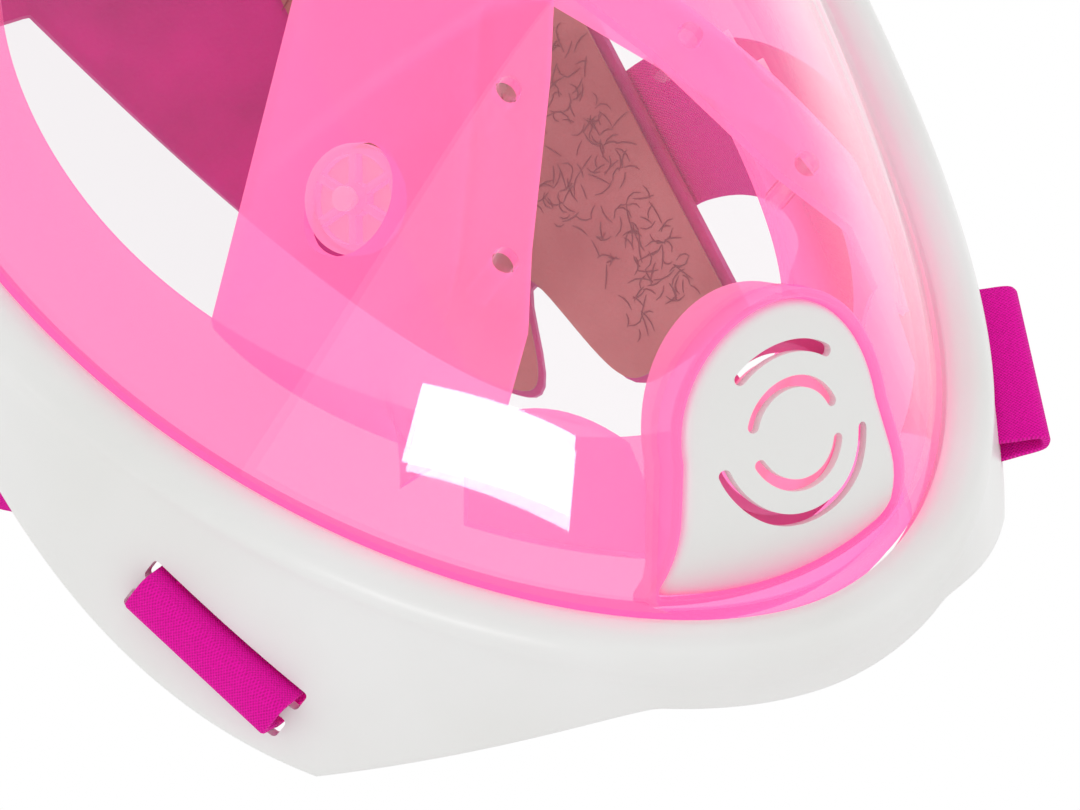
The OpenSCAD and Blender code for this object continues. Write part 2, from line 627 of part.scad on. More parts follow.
// Strap route in a wing's frame: tail behind, through the inner slot, over the bar,
// back through the outer slot. A slack loop stands off the bar.
slot_out = slot_in + slot_pitch;
over = -2.9;                        // webbing's middle in front of the wing's skin
function over_bar(slack) = [[0, 3, 8.5], [0, 6, 7.6], [0, 9, 6.2], [0, slot_in - 1.2, 4.2],
    [0, slot_in - 0.3, 1.8], [0, slot_in + 0.2, -1.2], [0, slot_in + 1.2, over - slack],
    [0, slot_out - 1.2, over - slack], [0, slot_out - 0.2, -1.6], [0, slot_out + 0.4, 2]];
to_brow = [[0, slot_out + 3, 6], [-2, slot_out + 8, 9]];
to_ear = [[0, slot_out + 1.2, 5], [0, slot_out - 1.5, 8.2], [-1, slot_out - 7, 10.5]];
function by_wing(t, pts) = [for (p = pts) wing_pt(t, p + [slot_mid, 0, 0])];
strap_w = webbing_w - 1;
module strap(t, start, away, away_dirs) color([0.88, 0, 0.6]) at_rim()
    ribbon(concat(by_wing(t, start), away), concat([for (p = start) wing_x(t)], away_dirs), strap_w);

// The lower straps run up behind the frame, then back to the ears.
ear_end = pad_pt(ear_angle - 8, -18, pad_t + 1);
ear_way = [[66, 54, -84], [74, 58, -66], [83, 66, -48], [89, 84, -30], [88, 105, -19], ear_end];
ear_dirs = [[-0.6, 0.2, -0.7], [-0.6, 0.5, -0.6], [-0.3, 0.5, -0.8], [-0.1, 0.2, -0.95],
    [0, 0, -1], [0, 0, -1]];
brow_a = 52;
brow_end = pad_pt(brow_a, crest(brow_a) - 2, pad_t + webbing_t);
brow_dir = [-0.3, -0.6, 0.7];
brow_from = wing_pt(42, [2, slot_out + 14, 10]);
brow_way = [for (u = [0.25, 0.6, 1]) mixed(brow_from, brow_end, u)];
brow_dirs = [for (u = [0.45, 0.8, 1]) mixed(wing_x(42), brow_dir, u)];

module strap_lower(s) mirror([s, 0, 0])
    strap(318, concat(over_bar(s == 0 ? 3 : 0), to_ear), ear_way, ear_dirs);
module strap_upper(s) mirror([s, 0, 0])
    strap(42, concat(over_bar(0), to_brow), brow_way, brow_dirs);

lens();
outer_frame();
clamp_ring();
clamp_screws();
face_skirt();
orinasal_pocket();
pocket_pegs();
inhale_seat(0);  // inhale_seat_left
inhale_seat(1);  // inhale_seat_right
inhale_flap(0);  // inhale_flap_left
inhale_flap(1);  // inhale_flap_right
purge_cover();
purge_boss();
purge_seat();
purge_flap();
tube_socket();
release_button();
release_spring();
neck_gasket();
exhale_flap(1);  // exhale_flap_left
exhale_flap(-1);  // exhale_flap_right
tube_plug();
plug_seal();
snorkel_tube();
float_chamber();
float_body();
float_seal();
intake_plate();
splash_cap();
rear_pad();
pad_lining(0);  // pad_lining_left
pad_lining(1);  // pad_lining_right
strap_lower(0);  // strap_lower_left
strap_lower(1);  // strap_lower_right
strap_upper(0);  // strap_upper_left
strap_upper(1);  // strap_upper_right
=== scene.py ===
import math
import random

import bmesh
import bpy
import numpy as np
from mathutils import Matrix, Vector


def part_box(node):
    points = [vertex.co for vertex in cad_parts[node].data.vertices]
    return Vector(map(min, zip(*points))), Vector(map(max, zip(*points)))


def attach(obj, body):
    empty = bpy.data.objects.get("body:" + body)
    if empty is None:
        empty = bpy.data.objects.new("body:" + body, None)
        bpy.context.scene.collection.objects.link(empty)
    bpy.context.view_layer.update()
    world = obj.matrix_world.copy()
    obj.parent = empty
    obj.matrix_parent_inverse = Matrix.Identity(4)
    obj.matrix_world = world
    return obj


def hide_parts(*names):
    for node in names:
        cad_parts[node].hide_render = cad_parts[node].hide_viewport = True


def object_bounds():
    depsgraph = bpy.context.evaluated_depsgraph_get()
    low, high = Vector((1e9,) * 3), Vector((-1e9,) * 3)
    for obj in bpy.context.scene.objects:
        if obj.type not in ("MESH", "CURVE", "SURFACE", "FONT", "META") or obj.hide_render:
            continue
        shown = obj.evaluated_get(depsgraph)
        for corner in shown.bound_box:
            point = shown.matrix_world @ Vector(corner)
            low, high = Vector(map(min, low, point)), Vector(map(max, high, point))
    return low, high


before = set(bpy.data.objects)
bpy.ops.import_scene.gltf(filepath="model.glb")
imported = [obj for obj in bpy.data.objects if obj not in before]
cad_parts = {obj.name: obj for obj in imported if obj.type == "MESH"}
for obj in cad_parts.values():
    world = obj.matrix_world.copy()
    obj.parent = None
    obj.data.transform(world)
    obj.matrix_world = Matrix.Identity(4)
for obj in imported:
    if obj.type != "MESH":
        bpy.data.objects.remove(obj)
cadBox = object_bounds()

print("full face snorkel: frame loaded")

# All shapes are worked out in millimetres about the chin of the lens rim, then put in the frame.
maskSize = {
    "rimDrop": 134.0,        # rim below its widest level
    "rimRise": 90.0,         # rim above it
    "faceBack": 50.0,        # face plane behind the chin rim
    "templeSweep": 40.8,
    "lensBulge": 50.0,
    "lensWall": 2.2,
    "noseSoftness": 0.35,
    "noseBelow": 10.0,       # nose of the lens below the middle of its rim
}
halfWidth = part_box("lens")[1].x * 1000
centreUp = (maskSize["rimDrop"] - maskSize["rimRise"]) / 2
noseHeight = -centreUp - maskSize["noseBelow"]
up = np.array([0.0, 0.0, 1.0])
back = np.array([0.0, 1.0, 0.0])


def inFrame(points):  # millimetres about the chin rim to metres in the frame
    return (np.asarray(points, float) + [0, -maskSize["faceBack"], centreUp]) / 1000


def unit(v):
    v = np.asarray(v, float)
    return v / np.maximum(np.linalg.norm(v, axis=-1, keepdims=True), 1e-12)


def clamp01(u):
    return np.clip(u, 0, 1)


def mixed(a, b, u):
    return a + (b - a) * u


def signedPower(v, e):
    return np.sign(v) * np.abs(v) ** e


def rim(t):  # rim of the lens, t in degrees from the wearer's left temple, 90 at the top
    t = np.radians(np.asarray(t, float))
    low = np.sin(t) < 0
    e = np.where(low, 2 / 1.9, 2 / 2.2)
    x = halfWidth * signedPower(np.cos(t), e)
    z = np.where(low, maskSize["rimDrop"], maskSize["rimRise"]) * signedPower(np.sin(t), e)
    y = maskSize["templeSweep"] * (np.abs(x) / halfWidth) ** 2
    return np.stack([x, y, z], -1)


def along(t):
    return unit(rim(np.asarray(t) + 0.5) - rim(np.asarray(t) - 0.5))


def outward(t):
    a = along(t)
    return unit(np.stack([a[..., 2], np.zeros(a.shape[:-1]), -a[..., 0]], -1))


def beside(t, w, d):  # w outwards in the front view, d backwards
    t, w, d = np.broadcast_arrays(np.asarray(t, float), w, d)
    return rim(t) + w[..., None] * outward(t) + d[..., None] * back


def bulgeShare(g):
    soft = maskSize["noseSoftness"]
    return (np.sqrt(g * g + soft * soft) - soft) / (math.sqrt(1 + soft * soft) - soft)


def dome(t, g, inset=0.0):  # lens surface, g from 0 at its nose to 1 at the rim
    t, g = np.broadcast_arrays(np.asarray(t, float), np.asarray(g, float))
    r = rim(t)
    k = bulgeShare(g)
    nose = maskSize["lensBulge"] - inset
    flat = np.stack([r[..., 0] - inset * np.sign(r[..., 0]) * np.abs(np.cos(np.radians(t))), r[..., 1],
                     r[..., 2] - inset * np.sin(np.radians(t))], -1)
    return np.stack([flat[..., 0] * g, mixed(-nose, flat[..., 1], k),
                     mixed(noseHeight, flat[..., 2], g)], -1)


def lensDepth(x, z):  # y of the lens's front at (x, z), by halving
    x, z = np.broadcast_arrays(np.asarray(x, float), np.asarray(z, float))
    lo, hi = np.full(x.shape, 0.02), np.full(x.shape, 1.2)
    for _ in range(22):
        g = (lo + hi) / 2
        zr = (z - noseHeight) / g + noseHeight
        low = zr < 0
        p = np.where(low, 1.9, 2.2)
        miss = ((np.abs(x) / g / halfWidth) ** p
                + (np.abs(zr) / np.where(low, maskSize["rimDrop"], maskSize["rimRise"])) ** p - 1)
        lo, hi = np.where(miss > 0, g, lo), np.where(miss > 0, hi, g)
    g = (lo + hi) / 2
    sweep = maskSize["templeSweep"] * (np.abs(x) / g / halfWidth) ** 2
    return mixed(-maskSize["lensBulge"], sweep, bulgeShare(g))


def behindLens(p, room):
    p = np.array(p, float)
    p[..., 1] = np.maximum(p[..., 1], lensDepth(p[..., 0], p[..., 2]) + maskSize["lensWall"] + room)
    return p


def smoothCurve(points, steps, closed=False):  # a curve through the points, steps points to a span
    p = np.asarray(points, float)
    n = len(p)
    out = []
    for i in range(n if closed else n - 1):
        if closed:
            a, b, c, d = p[(i - 1) % n], p[i], p[(i + 1) % n], p[(i + 2) % n]
        else:
            b, c = p[i], p[i + 1]
            a = p[i - 1] if i else 2 * b - c
            d = p[i + 2] if i + 2 < n else 2 * c - b
        for k in range(steps):
            u = k / steps
            out.append(0.5 * (2 * b + (c - a) * u + (2 * a - 5 * b + 4 * c - d) * u ** 2
                              + (3 * b - a - 3 * c + d) * u ** 3))
    if not closed:
        out.append(p[-1])
    return np.array(out)


def makePiece(name, points, faces, material, body="mask", replaces=(), uv=None, sharp=40):
    mesh = bpy.data.meshes.new(name)
    mesh.from_pydata([tuple(p) for p in inFrame(points)], [], faces)
    mesh.update()
    if uv is not None:
        layer = mesh.uv_layers.new(name="clothMap")
        for loop in mesh.loops:
            layer.data[loop.index].uv = uv[loop.vertex_index]
    piece = bpy.data.objects.new(name, mesh)
    bpy.context.scene.collection.objects.link(piece)
    finishMesh(piece, sharp)
    piece.data.materials.append(material)
    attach(piece, body)
    if replaces:
        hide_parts(*replaces)
    return piece


def finishMesh(piece, sharp):
    for polygon in piece.data.polygons:
        polygon.use_smooth = True
    piece.data.set_sharp_from_angle(angle=math.radians(sharp))


def gridFaces(rows, cols, closeRows=False, closeCols=False, fanFirst=False, fanLast=False):
    faces = []
    for i in range(rows if closeRows else rows - 1):
        for j in range(cols if closeCols else cols - 1):
            a, b = i * cols + j, i * cols + (j + 1) % cols
            c, d = ((i + 1) % rows) * cols + (j + 1) % cols, ((i + 1) % rows) * cols + j
            faces.append((a, b, c, d))
    if fanFirst:
        faces += [(rows * cols, (j + 1) % cols, j) for j in range(cols)]
    if fanLast:
        start, last = (rows - 1) * cols, rows * cols + (1 if fanFirst else 0)
        faces += [(last, start + j, start + (j + 1) % cols) for j in range(cols)]
    return faces


def tidyNormals(piece):
    mesh = piece.data
    work = bmesh.new()
    work.from_mesh(mesh)
    bmesh.ops.recalc_face_normals(work, faces=work.faces)
    work.to_mesh(mesh)
    work.free()


def cutOut(piece, cutters):  # the cutters are used up
    for cutter in cutters:
        change = piece.modifiers.new("cut", "BOOLEAN")
        change.object, change.operation, change.solver = cutter, "DIFFERENCE", "EXACT"
    bpy.context.view_layer.update()
    graph = bpy.context.evaluated_depsgraph_get()
    mesh = bpy.data.meshes.new_from_object(piece.evaluated_get(graph))
    piece.modifiers.clear()
    old, piece.data = piece.data, mesh
    bpy.data.meshes.remove(old)
    for cutter in cutters:
        bpy.data.objects.remove(cutter)


def prism(outline, place, low, high):  # a cutter: an outline swept along its frame's z
    bottom = [place(x, y, low) for x, y in outline]
    top = [place(x, y, high) for x, y in outline]
    n = len(outline)
    mesh = bpy.data.meshes.new("cutter")
    mesh.from_pydata([tuple(p) for p in inFrame(bottom + top)], [],
                     [tuple(range(n))[::-1], tuple(range(n, 2 * n))]
                     + [(i, (i + 1) % n, n + (i + 1) % n, n + i) for i in range(n)])
    cutter = bpy.data.objects.new("cutter", mesh)
    bpy.context.scene.collection.objects.link(cutter)
    tidyNormals(cutter)
    return cutter


def placer(origin, xAxis, yAxis):  # puts a frame's own x, y, z into the mask
    origin, xAxis, yAxis = np.array(origin, float), unit(xAxis), unit(yAxis)
    zAxis = np.cross(xAxis, yAxis)
    return lambda x, y, z: origin + x * xAxis + y * yAxis + z * zAxis


def roundedBox(w, h, r, steps=5):
    return [(sx * (w / 2 - r) + r * math.cos(a), sy * (h / 2 - r) + r * math.sin(a))
            for sx, sy, a0 in ((1, 1, 0), (-1, 1, 90), (-1, -1, 180), (1, -1, 270))
            for a in (math.radians(a0 + 90 * k / steps) for k in range(steps + 1))]


def stadium(w, d, steps=16):
    return roundedBox(w, d, d / 2 - 1e-3, steps)


def disc(diameter, steps):
    return roundedBox(diameter, diameter, diameter / 2 - 0.01, steps)


# Materials.
def linear(hexColour):  # sRGB hex to linear RGBA
    parts = [int(hexColour[i:i + 2], 16) / 255 for i in (0, 2, 4)]
    return tuple(c / 12.92 if c <= 0.04045 else ((c + 0.055) / 1.055) ** 2.4 for c in parts) + (1.0,)


def addNode(tree, kind, inputs=None, **settings):
    node = tree.nodes.new("ShaderNode" + kind)
    for key, value in settings.items():
        setattr(node, key, value)
    for key, value in (inputs or {}).items():
        if isinstance(value, bpy.types.NodeSocket):
            tree.links.new(value, node.inputs[key])
        else:
            node.inputs[key].default_value = value
    return node


def newMaterial(name):
    material = bpy.data.materials.new(name)
    material.use_nodes = True
    material.node_tree.nodes.clear()
    return material, material.node_tree


def finishMaterial(tree, surface):
    addNode(tree, "OutputMaterial", {"Surface": surface})


def perMetre(mm):  # texture scale that gives a feature of this size
    return 1000 / mm


def ramp(tree, factor, stops):
    node = addNode(tree, "ValToRGB", {"Fac": factor})
    elements = node.color_ramp.elements
    while len(elements) < len(stops):
        elements.new(0.5)
    for element, (position, colour) in zip(elements, stops):
        element.position, element.color = position, colour
    return node.outputs["Color"]


def whiteAbs(name, colour, roughness, grain):  # moulded, fine satin: soft sheen, faint orange peel
    material, tree = newMaterial(name)
    place = addNode(tree, "TexCoord").outputs["Object"]
    peel = addNode(tree, "TexNoise", {"Vector": place, "Scale": perMetre(grain), "Detail": 2})
    cloud = addNode(tree, "TexNoise", {"Vector": place, "Scale": perMetre(40), "Detail": 3})
    tint = ramp(tree, cloud.outputs["Fac"], [(0.3, linear(colour)), (0.75, linear("EFEFEC"))])
    bump = addNode(tree, "Bump", {"Height": peel.outputs["Fac"], "Strength": 0.05, "Distance": 0.0002})
    gloss = addNode(tree, "MapRange", {"Value": cloud.outputs["Fac"], "To Min": roughness - 0.04,
                                       "To Max": roughness + 0.05})
    shader = addNode(tree, "BsdfPrincipled", {"Base Color": tint, "Roughness": gloss.outputs["Result"],
                                              "IOR": 1.5, "Normal": bump.outputs["Normal"]})
    finishMaterial(tree, shader.outputs["BSDF"])
    return material


def mirrorShare(tree, straight):  # share a polished skin mirrors: more at its edges, the same on both sides
    facing = addNode(tree, "LayerWeight", {"Blend": 0.5}).outputs["Facing"]
    steep = addNode(tree, "Math", {0: facing, 1: 5.0}, operation="POWER")
    share = addNode(tree, "MapRange", {"Value": steep.outputs[0], "To Min": straight, "To Max": 1.0})
    return share.outputs["Result"]


def clearPlastic(name, tint, roughness=0.015):  # polished polycarbonate: see-through, mirrors at its edges
    material, tree = newMaterial(name)
    through = addNode(tree, "BsdfTransparent", {"Color": linear(tint)})
    mirror = addNode(tree, "BsdfGlossy", {"Roughness": roughness, "Color": linear("FFFFFF")})
    surface = addNode(tree, "MixShader", {0: mirrorShare(tree, 0.05), 1: through.outputs["BSDF"],
                                          2: mirror.outputs["BSDF"]})
    finishMaterial(tree, surface.outputs["Shader"])
    return material


def siliconeMaterial(name, body, glow, through, clearness, paintedGlow=0.5, roughness=0.3):
    # liquid silicone rubber, moulded: tinted light passes and scatters in it, with a soft waxy shine; an
    # emission in the glow colour paints a glow over it that stands in for light scattered inside the rubber
    material, tree = newMaterial(name)
    place = addNode(tree, "TexCoord").outputs["Object"]
    ripple = addNode(tree, "TexNoise", {"Vector": place, "Scale": perMetre(9), "Detail": 2})
    bump = addNode(tree, "Bump", {"Height": ripple.outputs["Fac"], "Strength": 0.25, "Distance": 0.0008})
    # the emission here is painted light: a pink glow that brightens the rubber though it is no lamp
    solid = addNode(tree, "BsdfPrincipled", {"Base Color": linear(body), "Roughness": roughness,
                                             "IOR": 1.41,
                                             "Emission Color": linear(glow), "Emission Strength": paintedGlow,
                                             "Normal": bump.outputs["Normal"]})
    lit = addNode(tree, "BsdfTranslucent", {"Color": linear(glow), "Normal": bump.outputs["Normal"]})
    clear = addNode(tree, "BsdfTransparent", {"Color": linear(through)})
    facing = addNode(tree, "LayerWeight", {"Blend": 0.35})
    thin = addNode(tree, "MapRange", {"Value": facing.outputs["Facing"], "To Min": clearness,
                                      "To Max": clearness * 0.35})
    inner = addNode(tree, "MixShader", {0: 0.5, 1: solid.outputs["BSDF"], 2: lit.outputs["BSDF"]})
    surface = addNode(tree, "MixShader", {0: thin.outputs["Result"], 1: inner.outputs["Shader"],
                                          2: clear.outputs["BSDF"]})
    finishMaterial(tree, surface.outputs["Shader"])
    return material


def elasticWebbing(name, bright, dark):  # woven polyester and elastane: fine ribs across, threads along
    material, tree = newMaterial(name)
    place = addNode(tree, "UVMap", uv_map="clothMap").outputs["UV"]
    split = addNode(tree, "SeparateXYZ", {"Vector": place})
    ribs = addNode(tree, "Math", {0: split.outputs["Y"], 1: 2 * math.pi / 0.7}, operation="MULTIPLY")
    ends = addNode(tree, "Math", {0: split.outputs["X"], 1: 2 * math.pi / 0.55}, operation="MULTIPLY")
    ribWave = addNode(tree, "Math", {0: ribs.outputs[0]}, operation="SINE")
    endWave = addNode(tree, "Math", {0: ends.outputs[0]}, operation="SINE")
    weave = addNode(tree, "Math", {0: ribWave.outputs[0], 1: endWave.outputs[0]}, operation="MULTIPLY")
    fuzz = addNode(tree, "TexNoise", {"Vector": place, "Scale": 2.2, "Detail": 3})
    height = addNode(tree, "Math", {0: weave.outputs[0], 1: 0.5, 2: fuzz.outputs["Fac"]},
                     operation="MULTIPLY_ADD")
    # colour follows the weave's height: darker in its low points as painted shade in the grooves between
    # threads, with random tone from the fuzz noise
    tint = ramp(tree, height.outputs[0], [(0.05, linear(dark)), (0.75, linear(bright))])
    bump = addNode(tree, "Bump", {"Height": height.outputs[0], "Strength": 0.6, "Distance": 0.00025})
    shader = addNode(tree, "BsdfPrincipled", {"Base Color": tint, "Roughness": 0.75, "Sheen Weight": 0.15,
                                              "Sheen Roughness": 0.4, "Sheen Tint": linear("FF6AD0"),
                                              "Specular IOR Level": 0.2,
                                              "Normal": bump.outputs["Normal"]})
    finishMaterial(tree, shader.outputs["BSDF"])
    return material


def laminatedNeoprene(name, colour, dark):  # foamed rubber under a knitted nylon face
    material, tree = newMaterial(name)
    place = addNode(tree, "TexCoord").outputs["Object"]
    knit = addNode(tree, "TexVoronoi", {"Vector": place, "Scale": perMetre(1.1)})
    cloud = addNode(tree, "TexNoise", {"Vector": place, "Scale": perMetre(30), "Detail": 4})
    tint = ramp(tree, cloud.outputs["Fac"], [(0.3, linear(dark)), (0.7, linear(colour))])
    bump = addNode(tree, "Bump", {"Height": knit.outputs["Distance"], "Strength": 0.4, "Distance": 0.0003})
    shader = addNode(tree, "BsdfPrincipled", {"Base Color": tint, "Roughness": 0.7, "Sheen Weight": 0.3,
                                              "Sheen Roughness": 0.5, "Normal": bump.outputs["Normal"]})
    finishMaterial(tree, shader.outputs["BSDF"])
    return material


def brushedLoop(name, light, dark):  # brushed loop knit: short fibres lie every way on a dusty ground
    material, tree = newMaterial(name)
    place = addNode(tree, "TexCoord").outputs["Object"]
    cloud = addNode(tree, "TexNoise", {"Vector": place, "Scale": perMetre(28), "Detail": 3})
    ground = ramp(tree, cloud.outputs["Fac"], [(0.3, linear(dark)), (0.7, linear(light))])
    fine = addNode(tree, "TexNoise", {"Vector": place, "Scale": perMetre(0.8), "Detail": 3})
    bump = addNode(tree, "Bump", {"Height": fine.outputs["Fac"], "Strength": 0.5, "Distance": 0.0004})
    shader = addNode(tree, "BsdfPrincipled", {"Base Color": ground, "Roughness": 0.8, "Sheen Weight": 0.25,
                                              "Normal": bump.outputs["Normal"]})
    finishMaterial(tree, shader.outputs["BSDF"])
    return material


def plainMoulding(name, colour, roughness, grain=1.5, metallic=0.0):  # moulded, or drawn where metal
    material, tree = newMaterial(name)
    place = addNode(tree, "TexCoord").outputs["Object"]
    peel = addNode(tree, "TexNoise", {"Vector": place, "Scale": perMetre(grain), "Detail": 2})
    bump = addNode(tree, "Bump", {"Height": peel.outputs["Fac"], "Strength": 0.08, "Distance": 0.0002})
    shader = addNode(tree, "BsdfPrincipled", {"Base Color": linear(colour), "Roughness": roughness,
                                              "Metallic": metallic, "Normal": bump.outputs["Normal"]})
    finishMaterial(tree, shader.outputs["BSDF"])
    return material


frameAbs = whiteAbs("white ABS, satin moulding", "F6F6F5", 0.3, 1.2)
coverAbs = whiteAbs("white ABS, fine satin cover", "F1F1EF", 0.36, 0.9)
innerAbs = whiteAbs("white ABS, matt inner ring", "E6E6E8", 0.5, 0.9)
tubeAbs = whiteAbs("white ABS, blow moulded tube", "F7F7F7", 0.26, 2.0)
lensGlass = clearPlastic("polycarbonate, polished lens", "FDFBFC")
pegPlastic = clearPlastic("polycarbonate, clear pegs", "FFF6FB", 0.05)
# each silicone glows with painted light: the number after its clearness (0.5 where left out) is the painted
# glow's strength
skirtSilicone = siliconeMaterial("silicone rubber, clear pink", "FFB4DE", "FF8CCC", "FFCCE8", 0.84, 0.9)
pocketSilicone = siliconeMaterial("silicone rubber, milky pink", "FFB4DE", "FF86C6", "FFC6E4", 0.6, 0.95)
sealSilicone = siliconeMaterial("silicone rubber, seal pink", "FFB4DC", "FF9CD2", "FFC4E4", 0.62, 0.6)
seatSilicone = siliconeMaterial("silicone rubber, pale valve seat", "FFD2EA", "FFC6E6", "FFDCF0", 0.6)
filmSilicone = siliconeMaterial("silicone rubber, thin valve film", "FFD3E6", "FFCBE2", "FFDCEC", 0.45)
pinkAbs = plainMoulding("ABS, pink moulding", "FF8CC8", 0.32)
floatShell = plainMoulding("polypropylene, float shell", "F6F1F2", 0.45)
springSteel = plainMoulding("stainless steel, drawn wire", "B9BBC0", 0.25, 0.6, 1.0)
webbing = elasticWebbing("polyester webbing, woven magenta", "FF00B4", "D2008C")
neoprene = laminatedNeoprene("neoprene, magenta nylon face", "E8109A", "C00A7E")
loopLining = brushedLoop("polyester, dusty brushed loop", "D08A84", "B0585A")
fibreYarn = plainMoulding("polyester, loose loop fibres", "9A4450", 0.7)
print("materials made")


# Lens, cut away for the purge wall.
def tongueOutline(grow):  # the purge cover's outline: half an ellipse over a flared foot
    s = coverSize
    w, top, foot = s["halfWidth"] + grow, s["above"] + grow, s["below"] + min(grow, 1.2)
    fw, r = w * s["flare"], s["cornerRadius"]
    arc = [(w * math.cos(a), top * math.sin(a)) for a in np.radians(np.arange(0, 180.1, 4))]
    side = [(-mixed(w, fw, i / 8), -(foot - r) * i / 8) for i in range(1, 8)]
    corner = [(-(fw - r) + r * math.cos(a), -(foot - r) + r * math.sin(a))
              for a in np.radians(np.arange(180, 270.1, 11.25))]
    base = [((fw - r) * u, -foot - s["footBow"] * (1 - u * u)) for u in np.arange(-0.9375, 0.95, 0.0625)]
    half = arc + side + corner + base
    return half + [(-x, y) for x, y in corner[::-1]] + [(-x, y) for x, y in side[::-1]]


coverSize = {
    "halfWidth": 18.0, "above": 20.0, "below": 21.5, "cornerRadius": 3.0, "flare": 1.2,
    "footBow": 2.6, "crown": 1.4, "sideDrop": 0.0123, "footFold": 0.042, "stand": 1.0,
    "wall": 1.6, "lip": 2.4,
    "slots": [(6.9, 8.7, 22, 136), (6.9, 8.7, 203, 134), (12.2, 14.1, 53, 74), (12.2, 14.1, 194, 152)],
    "level": 0.787,          # share of the way from the lens's nose to its rim
    "wallAround": 1.7, "wallDepth": 11.0, "wallGap": 0.3,
    "cutBehind": 22, "cutAhead": 18,
}
chinSlope = unit(dome(270, coverSize["level"] - 0.01) - dome(270, coverSize["level"] + 0.01))
purgeOut = np.cross([1, 0, 0], chinSlope)
purgeCentre = dome(270, coverSize["level"]) + coverSize["stand"] * purgeOut
atPurge = placer(purgeCentre, [1, 0, 0], chinSlope)


def purgeCutter():  # the opening that the purge wall stands in
    s = coverSize
    return prism(tongueOutline(s["wallAround"] + s["wallGap"]), atPurge, -s["cutBehind"], s["cutAhead"])


def makeLens():
    around = np.arange(0, 360, 360 / 216)
    shares = np.concatenate([[0.02], np.linspace(0.05, 0.9, 40), np.linspace(0.92, 1.0, 8)])
    front = np.array([dome(around, g) for g in shares])
    rear = np.array([dome(around, g, maskSize["lensWall"]) for g in shares[::-1]])
    grid = np.concatenate([front, rear])
    rows, cols = grid.shape[:2]
    poles = [dome(0, 0.0), dome(0, 0.0, maskSize["lensWall"])]
    faces = gridFaces(rows, cols, closeCols=True, fanFirst=True, fanLast=True)
    lens = makePiece("lensShell", np.vstack([grid.reshape(-1, 3), poles]), faces, lensGlass,
                     replaces=("lens",))
    tidyNormals(lens)
    s = coverSize
    wide, low, end = s["halfWidth"] + 4, -s["below"], -s["below"] - 20
    wayOut = prism([(-wide, end), (wide, end), (wide, low), (-wide, low)], atPurge,
                   -s["cutBehind"], s["cutAhead"])
    cutOut(lens, [purgeCutter(), wayOut])
    finishMesh(lens, 35)


makeLens()
print("lens made")


# White frame with its strap wings.
frameSize = {
    "bezel": 10.0, "wall": 2.2, "plainReach": 3.5, "wingReach": 29.0,
    "wingFrom": 12.0, "wingCorner": 54.0, "wingTo": 74.0,
    "slotLength": 31.0, "slotWidth": 3.6, "slotPitch": 6.0, "slotIn": 12.5, "slotMiddle": 4.0,
    "wings": (222, 318, 138, 42), "sweptFrom": 4.5,
}


def wingReach(t):
    s = frameSize
    p = np.abs(np.degrees(np.arcsin(np.sin(np.radians(t)))))
    rise = np.sin(np.pi / 2 * clamp01((p - s["wingFrom"]) / (s["wingCorner"] - s["wingFrom"]))) ** 1.3
    fall = clamp01(1 - (p - s["wingCorner"]) / (s["wingTo"] - s["wingCorner"])) ** 1.3
    return s["plainReach"] + (s["wingReach"] - s["plainReach"]) * np.where(p < s["wingCorner"], rise, fall)


def frameSection(reach):  # (outwards, backwards) round the bezel and its swept edge
    s = frameSize
    edge = [(s["bezel"] + 0.5 * reach * u, s["sweptFrom"] + 0.87 * reach * u) for u in (0, 0.35, 0.7, 1)]
    front = smoothCurve([(0.4, 1.4), (2, -0.2), (4.5, -1.2), (7, -0.6), (9, 1.5)] + edge, 5)
    slope = unit(np.gradient(front, axis=0))
    inner = front + s["wall"] * np.stack([-slope[:, 1], slope[:, 0]], -1)
    turn = np.radians(np.arange(30, 180, 30))
    tip, side = (front[-1] + inner[-1]) / 2, (front[-1] - inner[-1]) / 2
    cap = [tip + side * math.cos(a) + slope[-1] * s["wall"] / 2 * math.sin(a) for a in turn]
    return np.vstack([front, cap, inner[::-1]])


def wingFrame(t):
    a = along(t) * (1 if math.cos(math.radians(t)) * math.sin(math.radians(t)) > 0 else -1)
    y = unit(0.5 * outward(t) + 0.87 * back)
    x = unit(a - (a @ y) * y)
    start = beside(t, frameSize["bezel"], frameSize["sweptFrom"])
    turned = np.sign(math.cos(math.radians(t)) * math.sin(math.radians(t)))
    return start, x, y, turned * np.cross(x, y)   # the last points behind the wing


def makeFrame():
    s = frameSize
    around = np.arange(0, 360, 0.75)
    grid = []
    for t in around:
        section = frameSection(float(wingReach(t)))
        grid.append(beside(t, section[:, 0], section[:, 1]))
    grid = np.array(grid)
    rows, cols = grid.shape[:2]
    faces = gridFaces(rows, cols, closeRows=True, closeCols=True)
    piece = makePiece("whiteFrame", grid.reshape(-1, 3), faces, frameAbs, replaces=("outer_frame",))
    tidyNormals(piece)
    cutters = []
    for t in s["wings"]:
        start, x, y, behind = wingFrame(t)
        outline = roundedBox(s["slotLength"], s["slotWidth"], 0.8)
        for i in (0, 1):
            middle = start + s["slotMiddle"] * x + (s["slotIn"] + i * s["slotPitch"]) * y
            cutters.append(prism(outline, placer(middle, x, y), -12, 12))
    cutOut(piece, cutters)
    finishMesh(piece, 40)


makeFrame()
print("white frame made")


def makeClamp():
    around = np.arange(0, 360, 1.5)
    section = [(0.9, 4.1), (1.8, 3), (3, 2.6), (4.5, 1.9), (5.9, 2.3), (6.6, 4.6), (6.4, 7.6), (0.9, 7.6)]
    grid = np.array([beside(t, *np.array(section).T) for t in around])
    rows, cols = grid.shape[:2]
    faces = gridFaces(rows, cols, closeRows=True, closeCols=True)
    piece = makePiece("clampRing", grid.reshape(-1, 3), faces, innerAbs, replaces=("clamp_ring",))
    tidyNormals(piece)


makeClamp()


# Silicone skirt.
skirtSize = {"lipShare": 0.70, "neckWidth": 46.6, "neckDepth": 20.6}


